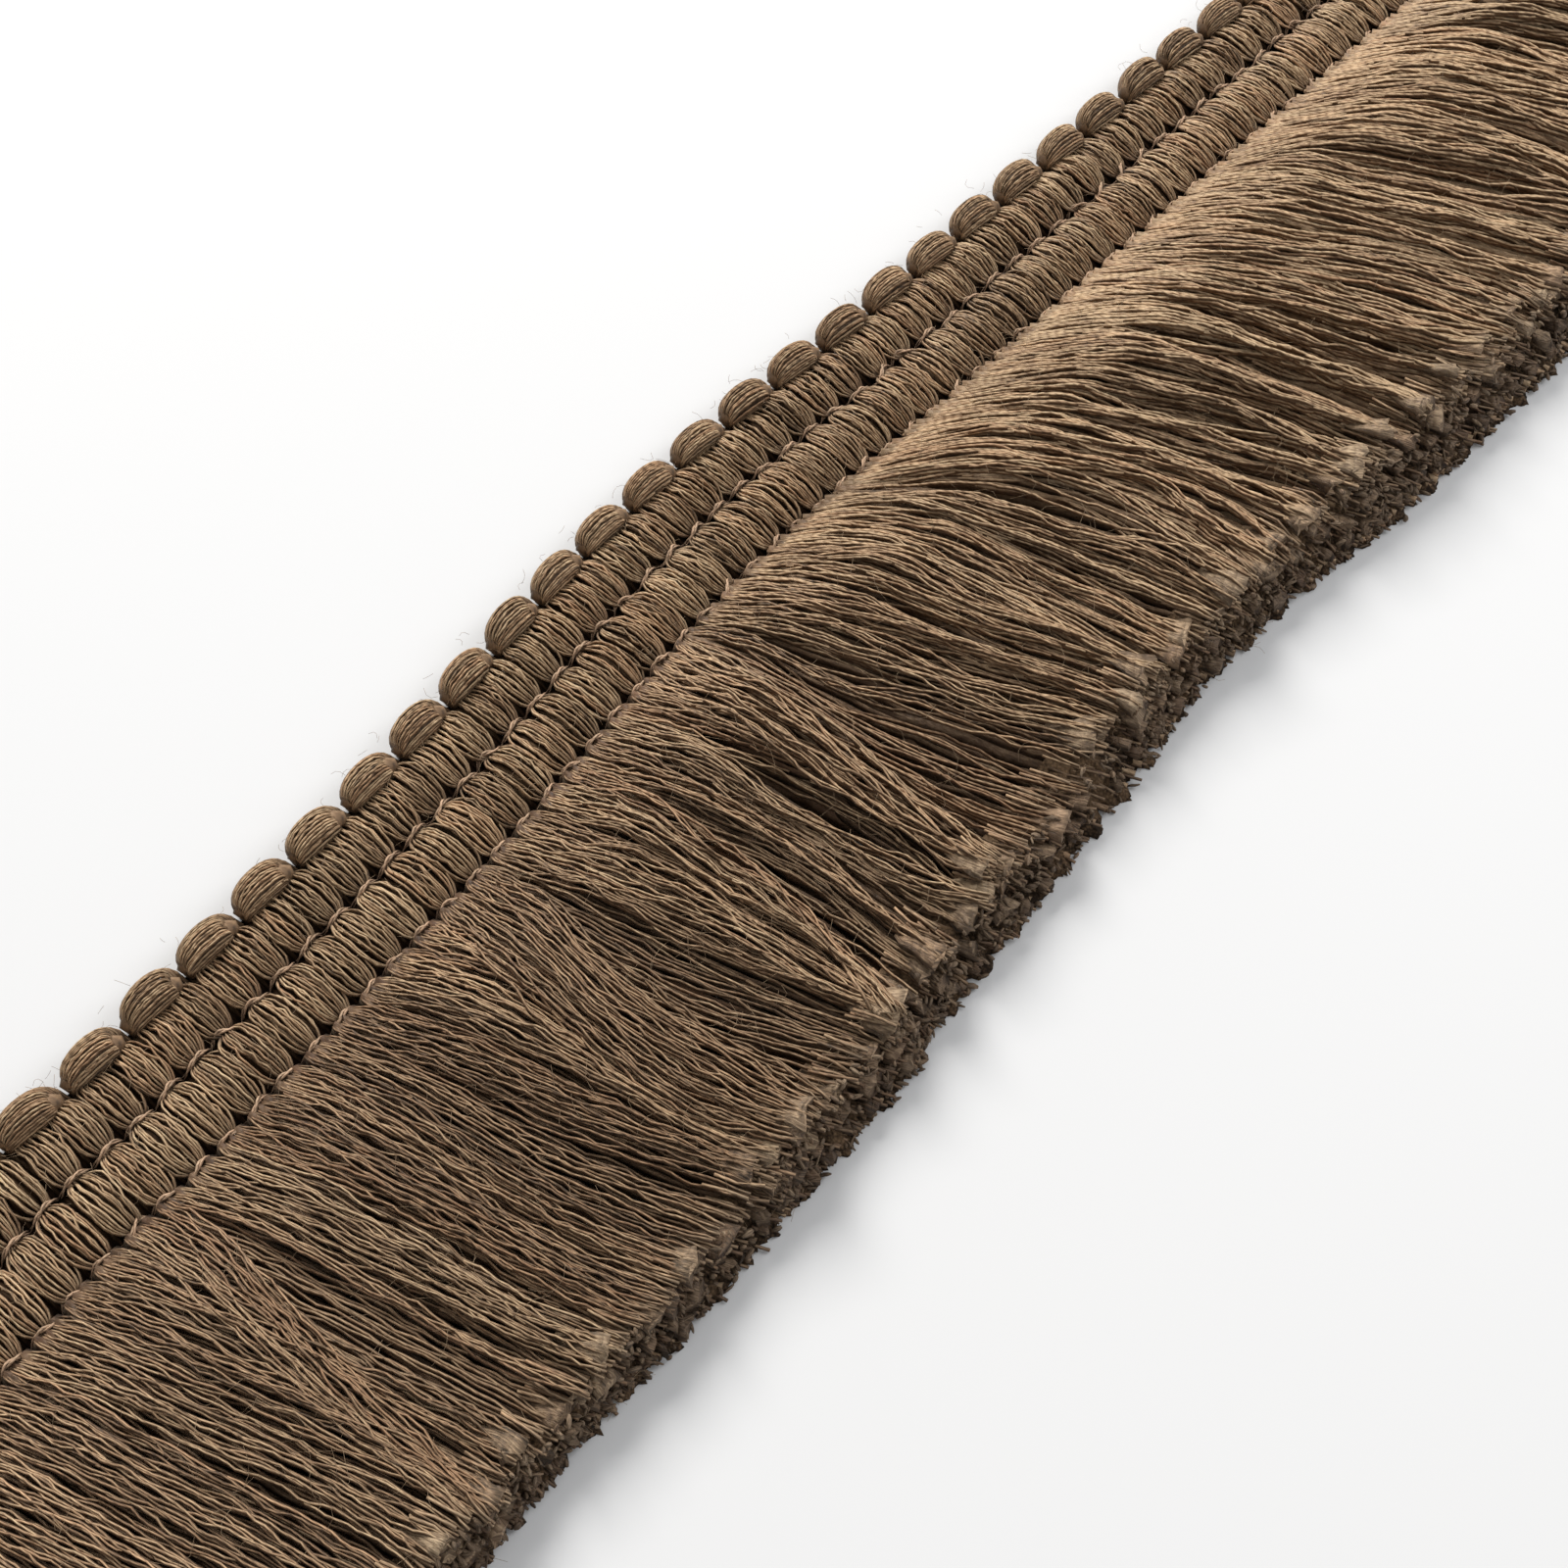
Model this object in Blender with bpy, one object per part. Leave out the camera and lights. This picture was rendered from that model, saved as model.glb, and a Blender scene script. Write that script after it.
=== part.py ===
"""A cut length of brush fringe trim, lying flat with a soft bend in its length.

The trim has three sub-parts: a row of beads along the outer edge, where the weft bundles turn, a woven
heading of two rows of pillow-shaped blocks, and a thick fringe of cut yarn.
Lengths are in metres. X runs along the trim, the fringe points to -Y, and Z = 0 is the underside.
A place on the trim is first worked out as (along, across, height) on a straight length, and then laid
along the bend. "Across" is measured from the middle of the bead row towards the cut edge.
"""

import math

import bmesh
import bpy
import numpy as np

# Length and bend
BEAD_PITCH = 0.0064
BEAD_COUNT = 37
BLOCK_PITCH = BEAD_PITCH / 2
LENGTH = BEAD_PITCH * BEAD_COUNT
BEND_ANGLE = math.radians(5.8)
BEND_START = 0.1138
BEND_LENGTH = 0.016

# Bead row
BEAD_RADIUS = 0.00165
NECK_RADIUS = 0.0009
BEAD_ROUNDNESS = 0.4
RINGS_PER_BEAD = 6

# Heading, given as the three lines across it where the stitches pull the blocks down
PIECE_GAP = 0.0003
HEADING_INNER = BEAD_RADIUS + PIECE_GAP
STITCH_LINE = 0.00645
HEADING_OUTER = 0.0129
STITCH_HEIGHT = 0.0017
BLOCK_RISE = 0.0009
STEPS_PER_BLOCK = 3
ROW_STEPS = (4, 5)

# Fringe backing
BACKING_START = HEADING_OUTER + PIECE_GAP
BACKING_WIDTH = 0.001
BACKING_HEIGHT = 0.0026
ROOT_INSET = 0.00015

# Fringe locks, in three layers. A lock has a section at each share of its reach, with a low and a high level
LOCK_PITCH = BLOCK_PITCH
LOCK_GAP = 0.0006
LOCK_SHARES = (0.06, 0.32, 0.66, 1.0)
LOCK_LAYERS = ("lower", "middle", "upper")
LOCK_LEVELS = {
    "lower": {"low": (0.0, 0.0, 0.0, 0.0), "high": (0.0010, 0.0016, 0.0016, 0.0015)},
    "middle": {"low": (0.0013, 0.0019, 0.0019, 0.0018), "high": (0.0021, 0.0032, 0.0032, 0.0032)},
    "upper": {"low": (0.0024, 0.0035, 0.0035, 0.0035), "high": (0.0033, 0.0049, 0.0048, 0.0050)},
}
LOWER_REACH = 0.0358
REACH_WAVE = 0.0006
REACH_WAVE_LENGTH = 0.019

# How the fringe is combed and sheared, by the place of the root along the trim: the sideways shift at the
# middle section and at the cut end, the upper layer's reach, and how much the two upper layers are raised.
COMBING = {
    "along": (0.0, 0.034, 0.059, 0.074, 0.086, 0.100, 0.107, 0.120, 0.134, 0.149, 0.199, 0.237),
    "middle": (0.0035, 0.0030, 0.0022, 0.0026, 0.0038, 0.0040, 0.0085, 0.0110, 0.0110, 0.0097, 0.0092, 0.0065),
    "tip": (0.0080, 0.0070, 0.0062, 0.0066, 0.0064, 0.0062, 0.0105, 0.0130, 0.0135, 0.0122, 0.0120, 0.0090),
    "reach": (0.0315, 0.0315, 0.0318, 0.0320, 0.0315, 0.0310, 0.0305, 0.0300, 0.0285, 0.0270, 0.0285, 0.0290),
    "rise": (1.0, 1.0, 1.0, 1.0, 1.0, 1.0, 1.05, 1.1, 1.2, 1.25, 1.25, 1.25),
}
MIDDLE_SHARE = 0.32

# Colours, as linear RGB
BEAD_COLOUR = (0.135, 0.088, 0.055)
HEADING_COLOUR = (0.125, 0.080, 0.050)
FRINGE_COLOUR = (0.110, 0.070, 0.043)
YARN_ROUGHNESS = 0.75


def laid(along, across, height):
    """Place a point of the straight trim on the bent one."""
    turned = min(max((along - BEND_START) / BEND_LENGTH, 0.0), 1.0)
    bend_radius = BEND_LENGTH / BEND_ANGLE
    start_angle = BEND_ANGLE / 2
    angle = start_angle - turned * BEND_ANGLE
    straight = min(along, BEND_START)
    x = straight * math.cos(start_angle)
    y = straight * math.sin(start_angle)
    x += bend_radius * (math.sin(start_angle) - math.sin(angle))
    y += bend_radius * (math.cos(angle) - math.cos(start_angle))
    after = max(along - BEND_START - BEND_LENGTH, 0.0)
    x += after * math.cos(angle)
    y += after * math.sin(angle)
    return (x + across * math.sin(angle), y - across * math.cos(angle), height)


def yarn_material(name, colour):
    material = bpy.data.materials.new(name)
    material.use_nodes = True
    shader = material.node_tree.nodes["Principled BSDF"]
    shader.inputs["Base Color"].default_value = (*colour, 1.0)
    shader.inputs["Roughness"].default_value = YARN_ROUGHNESS
    shader.inputs["Metallic"].default_value = 0.0
    return material


def add_mesh_object(name, bm, material, collection):
    """Lay a straight bmesh along the bend and make an object of it."""
    for vertex in bm.verts:
        vertex.co = laid(*vertex.co)
    bmesh.ops.recalc_face_normals(bm, faces=bm.faces)
    if bm.calc_volume(signed=True) < 0:
        bmesh.ops.reverse_faces(bm, faces=bm.faces)
    mesh = bpy.data.meshes.new(name)
    bm.to_mesh(mesh)
    bm.free()
    mesh.materials.append(material)
    part = bpy.data.objects.new(name, mesh)
    collection.objects.link(part)
    return part


def add_bead_row(collection):
    """A tube whose radius swells at every bead, resting on its fattest rings."""
    ring_count = BEAD_COUNT * RINGS_PER_BEAD + 1
    curve = bpy.data.curves.new("loop_edge", "CURVE")
    curve.dimensions = "3D"
    curve.bevel_depth = BEAD_RADIUS
    curve.bevel_resolution = 2
    curve.use_fill_caps = True
    spline = curve.splines.new("POLY")
    spline.points.add(ring_count - 1)
    for ring, point in enumerate(spline.points):
        along = LENGTH * ring / (ring_count - 1)
        swell = abs(math.sin(math.pi * along / BEAD_PITCH)) ** BEAD_ROUNDNESS
        radius = NECK_RADIUS + (BEAD_RADIUS - NECK_RADIUS) * swell
        point.co = (*laid(along, 0.0, BEAD_RADIUS), 1.0)
        point.radius = radius / BEAD_RADIUS
    beads = bpy.data.objects.new("loop_edge", curve)
    beads.data.materials.append(yarn_material("bead_yarn", BEAD_COLOUR))
    collection.objects.link(beads)
    return beads


def heading_height(along, across):
    """Height of the heading's face: a pillow over each block, pulled down at the stitch lines."""
    on_block = abs(math.sin(math.pi * along / BLOCK_PITCH))
    if across <= STITCH_LINE:
        on_row = (across - HEADING_INNER) / (STITCH_LINE - HEADING_INNER)
    else:
        on_row = (across - STITCH_LINE) / (HEADING_OUTER - STITCH_LINE)
    pillow = math.sqrt(on_block * math.sin(math.pi * min(max(on_row, 0.0), 1.0)) + 1e-9)
    return STITCH_HEIGHT + BLOCK_RISE * pillow


def row_stations():
    """The places across the heading where its grid has a line."""
    inner_row = np.linspace(HEADING_INNER, STITCH_LINE, ROW_STEPS[0] + 1)
    outer_row = np.linspace(STITCH_LINE, HEADING_OUTER, ROW_STEPS[1] + 1)
    return np.concatenate([inner_row, outer_row[1:]])


def add_heading(collection):
    """A grid raised into blocks, with its border drawn down to a flat underside."""
    block_count = 2 * BEAD_COUNT
    stations = row_stations()
    steps_across = len(stations) - 1
    bm = bmesh.new()
    bmesh.ops.create_grid(bm, x_segments=block_count * STEPS_PER_BLOCK, y_segments=steps_across, size=0.5)
    for vertex in bm.verts:
        along = (vertex.co.x + 0.5) * LENGTH
        across = stations[round((0.5 - vertex.co.y) * steps_across)]
        vertex.co = (along, across, heading_height(along, across))
    border = [edge for edge in bm.edges if edge.is_boundary]
    drawn = bmesh.ops.extrude_edge_only(bm, edges=border)["geom"]
    for vertex in (item for item in drawn if isinstance(item, bmesh.types.BMVert)):
        vertex.co.z = 0.0
    bmesh.ops.holes_fill(bm, edges=[edge for edge in bm.edges if edge.is_boundary], sides=0)
    return add_mesh_object("heading", bm, yarn_material("heading_yarn", HEADING_COLOUR), collection)


def combed(column, root_along):
    """Read a column of the combing table at a root's place along the trim."""
    return float(np.interp(root_along, COMBING["along"], COMBING[column]))


def lock_along(section, root_along):
    """Where a lock's section is along the trim: a parabola from its root through the two combed shifts."""
    share = LOCK_SHARES[section]
    middle = combed("middle", root_along)
    tip = combed("tip", root_along)
    slope = (middle - MIDDLE_SHARE**2 * tip) / (MIDDLE_SHARE - MIDDLE_SHARE**2)
    return root_along + slope * share + (tip - slope) * share**2


def lock_section(layer, section, root_along):
    """Centre along and across, width, low and high of one section of the lock rooted at root_along."""
    # A lock fills the room between its neighbours, less a gap
    room = lock_along(section, root_along + LOCK_PITCH / 2) - lock_along(section, root_along - LOCK_PITCH / 2)
    # The layers are cut back evenly from the lower one to the upper one
    back = LOCK_LAYERS.index(layer) / (len(LOCK_LAYERS) - 1)
    reach = LOWER_REACH + back * (combed("reach", root_along) - LOWER_REACH)
    reach += REACH_WAVE * math.sin(2 * math.pi * root_along / REACH_WAVE_LENGTH)
    across = BACKING_START + BACKING_WIDTH + reach * LOCK_SHARES[section]
    rise = 1.0 if layer == "lower" else combed("rise", root_along)
    low = LOCK_LEVELS[layer]["low"][section] * rise
    high = LOCK_LEVELS[layer]["high"][section] * rise
    return lock_along(section, root_along), across, room - LOCK_GAP, low, high


def add_fringe(collection):
    """A narrow backing with three layers of four-sided locks drawn out of its face."""
    column_width = LOCK_PITCH / 2
    columns = round(LENGTH / column_width)
    rows = len(LOCK_LAYERS)
    face_across = BACKING_START + BACKING_WIDTH
    bm = bmesh.new()
    column_of = bm.faces.layers.int.new("column")
    row_of = bm.faces.layers.int.new("row")
    bmesh.ops.create_grid(bm, x_segments=columns, y_segments=rows, size=0.5)
    for vertex in bm.verts:
        along = (vertex.co.x + 0.5) * LENGTH
        vertex.co = (along, face_across, (vertex.co.y + 0.5) * BACKING_HEIGHT)

    # The locks grow from every other cell, like the dark squares of a chessboard
    roots = []
    for face in bm.faces:
        centre = face.calc_center_median()
        face[column_of] = int(centre.x / column_width)
        face[row_of] = int(centre.z / BACKING_HEIGHT * rows)
        if (face[column_of] + face[row_of]) % 2 == 0:
            roots.append(face)
    back = bmesh.ops.extrude_face_region(bm, geom=bm.faces[:], use_keep_orig=True)["geom"]
    for vertex in (item for item in back if isinstance(item, bmesh.types.BMVert)):
        vertex.co.y = BACKING_START
    bmesh.ops.recalc_face_normals(bm, faces=bm.faces)
    bmesh.ops.inset_individual(bm, faces=roots, thickness=ROOT_INSET)

    ends = roots
    for section in range(len(LOCK_SHARES)):
        ends = bmesh.ops.extrude_discrete_faces(bm, faces=ends)["faces"]
        for face in ends:
            layer = LOCK_LAYERS[face[row_of]]
            root_along = (face[column_of] + 0.5) * column_width
            along, across, width, low, high = lock_section(layer, section, root_along)
            centre = face.calc_center_median()
            for vertex in face.verts:
                side = 1 if vertex.co.x > centre.x else -1
                level = high if vertex.co.z > centre.z else low
                vertex.co = (along + side * width / 2, across, level)
    return add_mesh_object("fringe", bm, yarn_material("fringe_yarn", FRINGE_COLOUR), collection)


def centre_parts(parts):
    """Bring the middle of the whole trim to X = 0 and Y = 0."""
    bpy.context.view_layer.update()
    corners = np.array([part.matrix_world @ vertex.co for part in parts for vertex in part.to_mesh().vertices])
    middle = (corners.min(axis=0) + corners.max(axis=0)) / 2
    for part in parts:
        part.location = (-middle[0], -middle[1], 0.0)


def main():
    for old in list(bpy.data.objects):
        bpy.data.objects.remove(old, do_unlink=True)
    collection = bpy.data.collections.new("brush_fringe_trim")
    bpy.context.scene.collection.children.link(collection)
    parts = [add_bead_row(collection), add_heading(collection), add_fringe(collection)]
    centre_parts(parts)


main()
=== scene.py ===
# Looks of a cut length of brush fringe trim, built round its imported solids.
# Lengths in the dictionaries are in millimetres. A place on the trim is (along, across, height), as if
# the trim were straight, and toMetres lays it on the bend.

import math
from functools import partial

import bpy
import numpy as np
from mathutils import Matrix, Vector


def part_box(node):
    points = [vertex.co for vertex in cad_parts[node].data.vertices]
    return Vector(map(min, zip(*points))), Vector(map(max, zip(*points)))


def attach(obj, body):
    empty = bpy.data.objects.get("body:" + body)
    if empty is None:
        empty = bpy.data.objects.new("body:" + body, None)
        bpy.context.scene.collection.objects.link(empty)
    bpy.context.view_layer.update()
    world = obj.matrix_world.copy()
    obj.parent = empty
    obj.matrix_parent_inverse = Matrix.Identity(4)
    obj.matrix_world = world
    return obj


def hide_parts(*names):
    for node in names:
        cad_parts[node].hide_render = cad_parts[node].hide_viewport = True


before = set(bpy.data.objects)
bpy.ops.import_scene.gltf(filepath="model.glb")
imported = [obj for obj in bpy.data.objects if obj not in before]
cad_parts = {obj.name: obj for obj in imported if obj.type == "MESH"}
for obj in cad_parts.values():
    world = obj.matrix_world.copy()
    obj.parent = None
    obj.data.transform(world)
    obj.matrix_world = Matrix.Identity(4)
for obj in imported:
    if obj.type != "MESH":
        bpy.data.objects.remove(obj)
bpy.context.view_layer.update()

print("frame loaded")

trim = {
    "beadPitch": 6.4,
    "beadCount": 37,
    "bendAngle": 5.8,      # degrees
    "bendStart": 113.8,
    "bendLength": 16.0,
    "headingInner": 1.95,
    "stitchLine": 6.45,
    "headingOuter": 12.9,
}
trimLength = trim["beadPitch"] * trim["beadCount"]
blockPitch = trim["beadPitch"] / 2
blockCount = 2 * trim["beadCount"]


# Plan curve: straight, then an arc of bendAngle, then straight again. "Across" is measured square to it.
def plan(along, across):
    startAngle = math.radians(trim["bendAngle"]) / 2
    arcRadius = trim["bendLength"] / (2 * startAngle)
    turned = np.clip((along - trim["bendStart"]) / trim["bendLength"], 0, 1)
    angle = startAngle * (1 - 2 * turned)
    straight = np.minimum(along, trim["bendStart"])
    after = np.maximum(along - trim["bendStart"] - trim["bendLength"], 0)
    x = straight * math.cos(startAngle) + arcRadius * (math.sin(startAngle) - np.sin(angle))
    y = straight * math.sin(startAngle) + arcRadius * (np.cos(angle) - math.cos(startAngle))
    x = x + after * np.cos(angle) + across * np.sin(angle)
    y = y + after * np.sin(angle) - across * np.cos(angle)
    return x, y


# The heading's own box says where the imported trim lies
headingLow, headingHigh = (np.array(corner) * 1000 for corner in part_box("heading"))
edgeX, edgeY = plan(np.linspace(0, trimLength, 400), trim["headingInner"])
offsetX = headingLow[0] - edgeX.min()
offsetY = headingHigh[1] - edgeY.max()


# 0 before "start", 1 after "end", and a smooth S between them
def ease(value, start, end):
    part = np.clip((value - start) / (end - start), 0, 1)
    return part * part * (3 - 2 * part)


# The edge isn't quite straight: soft bulges away from the fringe, which fade before the cut
sway = {"along": (31.0, 104.0), "reach": (6.0, 19.0), "bulge": (0.5, 1.3)}


# (along, across, height) in millimetres to metres in the frame
def toMetres(along, across, height):
    fade = 1 - ease(across, 10.0, 44.0)
    for place, reach, bulge in zip(*sway.values()):
        across = across - bulge * np.exp(-(((along - place) / reach) ** 2)) * fade
    x, y = plan(along, across)
    placed = np.broadcast_arrays(x + offsetX, y + offsetY, height)
    return np.stack(placed, axis=-1) / 1000


# One row of soft waves for each yarn: three sines with random phases and nearby wavelengths
def waves(chance, yarns, distance, wavelength):
    total, sines = 0, 3
    for _ in range(sines):
        stretch = chance.uniform(0.7, 1.4, (yarns, 1))
        phase = chance.uniform(0, 2 * np.pi, (yarns, 1))
        total = total + np.sin(2 * np.pi * distance / (wavelength * stretch) + phase)
    return total / math.sqrt(sines)


def addObject(name, data):
    made = bpy.data.objects.new(name, data)
    bpy.context.scene.collection.objects.link(made)
    return made


# One number for each vertex, which the materials read by its name
def setValues(mesh, valueName, values):
    mesh.attributes.new(valueName, "FLOAT", "POINT").data.foreach_set("value", values)


# A closed form with a loop of points in every column. "points" has a row for each point of the loop and
# a column for each place along the trim, and "values" a number for each point.
def addLoops(name, points, values, smooth, uv=None):
    rows, columns, _ = points.shape
    index = np.arange(rows * columns).reshape(rows, columns)
    after = np.roll(index, -1, axis=0)
    quads = np.stack([index[:, :-1], index[:, 1:], after[:, 1:], after[:, :-1]], axis=-1).reshape(-1, 4)
    caps = [index[:, 0].tolist(), index[::-1, -1].tolist()]
    mesh = bpy.data.meshes.new(name)
    mesh.from_pydata(points.reshape(-1, 3), [], quads.tolist() + caps)
    mesh.polygons.foreach_set("use_smooth", smooth & (np.arange(len(quads) + 2) < len(quads)))
    if uv is not None:
        places = uv.reshape(-1, 2)[np.concatenate([quads.ravel(), *caps])]
        mesh.uv_layers.new(name="strandUV").data.foreach_set("uv", places.ravel())
    for valueName, value in values.items():
        setValues(mesh, valueName, np.broadcast_to(value, (rows, columns)).ravel())
    mesh.update()
    return addObject(name, mesh)


# A tube round each row of centres: at every ring, a circle of points in the plane across the path.
# Its first axis is level and its second one square to that and to the path. One point is always on
# top, at a quarter turn, and the seam lies underneath. Centres and radii are in metres. "flat" scales
# the circle upwards, and "ragged" moves the points of the last ring on along the path. The UV map has
# the share of the way round, and the length along the yarn in millimetres.
def addTubes(name, centres, radii, sides, phase, flat=1.0, ragged=None, **values):
    yarns, rings, _ = centres.shape
    tangent = np.gradient(centres, axis=1)
    tangent /= np.linalg.norm(tangent, axis=-1, keepdims=True)
    level = np.cross(tangent, (0.0, 0.0, 1.0))
    level /= np.linalg.norm(level, axis=-1, keepdims=True) + 1e-12
    upward = np.cross(level, tangent)
    around = 0.25 + (np.arange(sides + 1) - sides // 2) / sides
    turn = 2 * np.pi * around[:-1]
    upward = upward * np.broadcast_to(flat, (yarns, rings))[..., None]
    circle = np.cos(turn)[:, None] * level[:, :, None] + np.sin(turn)[:, None] * upward[:, :, None]
    reach = np.broadcast_to(radii, (yarns, rings, sides))[..., None]
    points = centres[:, :, None] + reach * circle
    if ragged is not None:
        points[:, -1] += ragged[..., None] * tangent[:, -1, None]

    index = np.arange(yarns * rings * sides).reshape(yarns, rings, sides)
    following = np.roll(index, -1, axis=2)
    corners = (index[:, :-1], index[:, 1:], following[:, 1:], following[:, :-1])
    quads = np.stack(corners, axis=-1).reshape(-1, 4)
    caps = np.concatenate([index[:, 0], index[:, -1, ::-1]])

    step = np.linalg.norm(np.diff(centres, axis=1), axis=-1) * 1000
    length = np.concatenate([np.zeros((yarns, 1)), np.cumsum(step, axis=1)], axis=1) + phase[:, None]
    quadUV = np.empty((yarns, rings - 1, sides, 4, 2))
    quadUV[..., 0, 0] = quadUV[..., 1, 0] = around[:-1]
    quadUV[..., 2, 0] = quadUV[..., 3, 0] = around[1:]
    quadUV[..., 0, 1] = quadUV[..., 3, 1] = length[:, :-1, None]
    quadUV[..., 1, 1] = quadUV[..., 2, 1] = length[:, 1:, None]
    capUV = np.empty((2, yarns, sides, 2))
    capUV[..., 0] = around[:-1]
    capUV[0, ..., 1] = length[:, :1]
    capUV[1, ..., 1] = length[:, -1:]

    mesh = bpy.data.meshes.new(name)
    mesh.vertices.add(points.size // 3)
    mesh.vertices.foreach_set("co", points.ravel())
    mesh.loops.add(quads.size + caps.size)
    mesh.loops.foreach_set("vertex_index", np.concatenate([quads.ravel(), caps.ravel()]))
    mesh.polygons.add(len(quads) + len(caps))
    starts = np.concatenate([np.arange(len(quads)) * 4, quads.size + np.arange(len(caps)) * sides])
    mesh.polygons.foreach_set("loop_start", starts)
    mesh.polygons.foreach_set("use_smooth", np.arange(len(quads) + len(caps)) < len(quads))
    uvMap = mesh.uv_layers.new(name="strandUV")
    uvMap.data.foreach_set("uv", np.concatenate([quadUV.ravel(), capUV.ravel()]))
    for valueName, value in values.items():
        column = value if np.ndim(value) == 2 else np.reshape(value, (-1, 1))
        spread = np.broadcast_to(column, (yarns, rings))
        setValues(mesh, valueName, np.repeat(spread.ravel(), sides))
    mesh.update(calc_edges=True)
    return addObject(name, mesh)


# Gives a piece its material and its body, and hides the solids that it stands for
def dress(piece, material, slotName, *nodes):
    piece.data.materials.clear()
    piece.data.materials.append(material)
    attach(piece, "root")
    if nodes:
        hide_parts(*nodes)


# Materials

yarnColours = {
    "dark": (0.030, 0.018, 0.010),
    "mid": (0.362, 0.231, 0.130),
    "light": (0.810, 0.598, 0.365),
    "cut": (0.540, 0.400, 0.260),  # cut ends
    # These multiply the colour of the redder yarns (their own hue), of a yarn's sides (painted shade), and
    # of yarns lying low, in pits and in creases (painted shade)
    "red": (1.06, 0.93, 0.88),
    "side": (0.26, 0.215, 0.19),
    "deep": (0.25, 0.21, 0.20),
}


# Gives each input, named or numbered, a number, a colour or the socket to link it to
def setInputs(node, inputs):
    for key, value in inputs.items():
        if isinstance(value, bpy.types.NodeSocket):
            node.id_data.links.new(value, node.inputs[key])
        else:
            node.inputs[key].default_value = (*value, 1.0) if isinstance(value, tuple) else value


# Adds a node and returns its outputs
def addNode(tree, kind, inputs={}, **settings):
    node = tree.nodes.new(kind)
    for settingName, setting in settings.items():
        setattr(node, settingName, setting)
    setInputs(node, inputs)
    return node.outputs


# One of the numbers that setValues gives to the vertices
def readValue(tree, valueName):
    return addNode(tree, "ShaderNodeAttribute", attribute_name=valueName)["Fac"]


# A Math node on numbers and sockets, in the tree that the sockets belong to
def calculate(operation, *terms, clamp=False):
    tree = next(term.id_data for term in terms if isinstance(term, bpy.types.NodeSocket))
    return addNode(tree, "ShaderNodeMath", dict(enumerate(terms)), operation=operation, use_clamp=clamp)[0]


plus, minus, times = (partial(calculate, operation) for operation in ("ADD", "SUBTRACT", "MULTIPLY"))


# A Mix node for colours. The factor is a socket.
def blendColours(factor, first, second, blend="MIX"):
    inputs = {0: factor, 6: first, 7: second}
    return addNode(factor.id_data, "ShaderNodeMix", inputs, data_type="RGBA", blend_type=blend)[2]


def newMaterial(name):
    material = bpy.data.materials.new(name)
    material.use_nodes = True
    return material, material.node_tree, material.node_tree.nodes["Principled BSDF"]


# Twisted yarn: two plies wind round it, so the ridge is |sin(2 pi (turn + length / pitch))|. Fine noise
# stretched along the yarn makes its fibres, and each yarn's own tone and hue shift the colour.
def makeTwistedYarn():
    tree = bpy.data.node_groups.new("twistedYarn", "ShaderNodeTree")
    settings = {key.capitalize(): (*yarnColours[key], 1) for key in ("dark", "mid", "light", "cut")}
    settings.update({
        "Ply Pitch": 1.7, "Ply Contrast": 0.20, "Fibre Count": 5.0, "Fibre Contrast": 1.5, "Side Depth": 1.35
    })
    for socketName, value in settings.items():
        kind = "NodeSocketColor" if isinstance(value, tuple) else "NodeSocketFloat"
        tree.interface.new_socket(socketName, in_out="INPUT", socket_type=kind).default_value = value
    for socketName, kind in (("Colour", "Color"), ("Roughness", "Float"), ("Height", "Float")):
        tree.interface.new_socket(socketName, in_out="OUTPUT", socket_type="NodeSocket" + kind)
    given = addNode(tree, "NodeGroupInput")

    uvMap = addNode(tree, "ShaderNodeUVMap", uv_map="strandUV")[0]
    turn, length, _ = addNode(tree, "ShaderNodeSeparateXYZ", {0: uvMap})
    tone, hue, tip, deep = (readValue(tree, valueName) for valueName in ("tone", "hue", "tip", "deep"))

    winding = plus(turn, calculate("DIVIDE", length, given["Ply Pitch"]))
    ridge = calculate("ABSOLUTE", calculate("SINE", times(winding, 2 * math.pi)))
    places = {0: times(turn, given["Fibre Count"]), 1: times(length, 0.9), 2: times(tone, 97.0)}
    place = addNode(tree, "ShaderNodeCombineXYZ", places)[0]
    noise = {"Vector": place, "Scale": 1.0, "Detail": 3.0, "Roughness": 0.65}
    fibre = addNode(tree, "ShaderNodeTexNoise", noise)[0]

    # The ply grooves are a little darker than the ridges: painted shade in the grooves, on top of the bump
    plies = times(minus(ridge, 0.6), given["Ply Contrast"])
    fibres = times(minus(fibre, 0.5), given["Fibre Contrast"])
    level = plus(plus(plies, fibres), plus(times(minus(tone, 0.5), 0.55), 0.5))
    colour = blendColours(times(level, 2.0, clamp=True), given["Dark"], given["Mid"])
    colour = blendColours(times(minus(level, 0.5), 2.0, clamp=True), colour, given["Light"])
    colour = blendColours(hue, colour, yarnColours["red"], "MULTIPLY")
    colour = blendColours(tip, colour, given["Cut"])
    # Painted shade: each yarn is darker on its sides and underneath than on its top, by Side Depth
    crest = calculate("SINE", times(turn, 2 * math.pi))
    sideShade = times(minus(0.93, crest), given["Side Depth"], clamp=True)
    colour = blendColours(sideShade, colour, yarnColours["side"], "MULTIPLY")
    # Painted shade: the per-vertex shade value darkens yarns lying low, in pits, in creases and by the roots
    colour = blendColours(deep, colour, yarnColours["deep"], "MULTIPLY")
    roughness, height = plus(times(fibre, 0.3), 0.5), plus(times(ridge, 0.5), fibre)
    addNode(tree, "NodeGroupOutput", {"Colour": colour, "Roughness": roughness, "Height": height})
    return tree


twistedYarn = makeTwistedYarn()


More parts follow.
